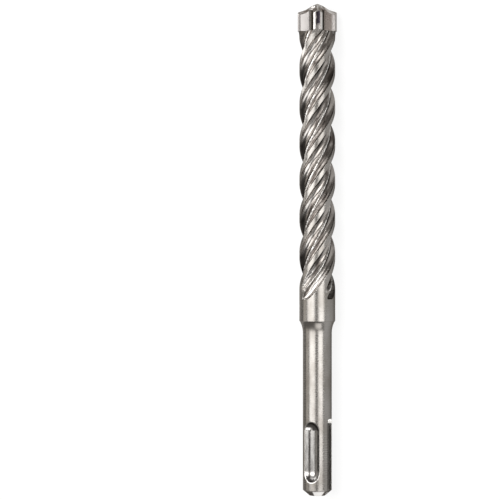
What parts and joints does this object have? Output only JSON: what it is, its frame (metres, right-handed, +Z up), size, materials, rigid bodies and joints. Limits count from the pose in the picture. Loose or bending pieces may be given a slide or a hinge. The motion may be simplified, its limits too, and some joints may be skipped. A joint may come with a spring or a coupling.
{
  "type": "hammer drill bit",
  "caption": "Masonry drill bit with a grooved quick-change shank, a stepped neck, steep right-hand flutes and a cross-shaped carbide head with a centring point.",
  "frame": {"origin": "on the ground under the middle of the bit, which lies on its side on the fluted body", "axes": "+Y along the bit from the shank's striking end to the carbide point, +Z up, away from the ground it lies on"},
  "size_m": [0.0124, 0.1696, 0.0124],
  "materials": {
    "steel": "bright ground steel, finely brushed, with faint grey-brown mottling in the flutes",
    "carbide": "ground tungsten carbide, satin, with darker mottled blade ends"
  },
  "bodies": {
    "root": {"steel_body": "steel", "carbide_head": "carbide"}
  },
  "joints": []
}
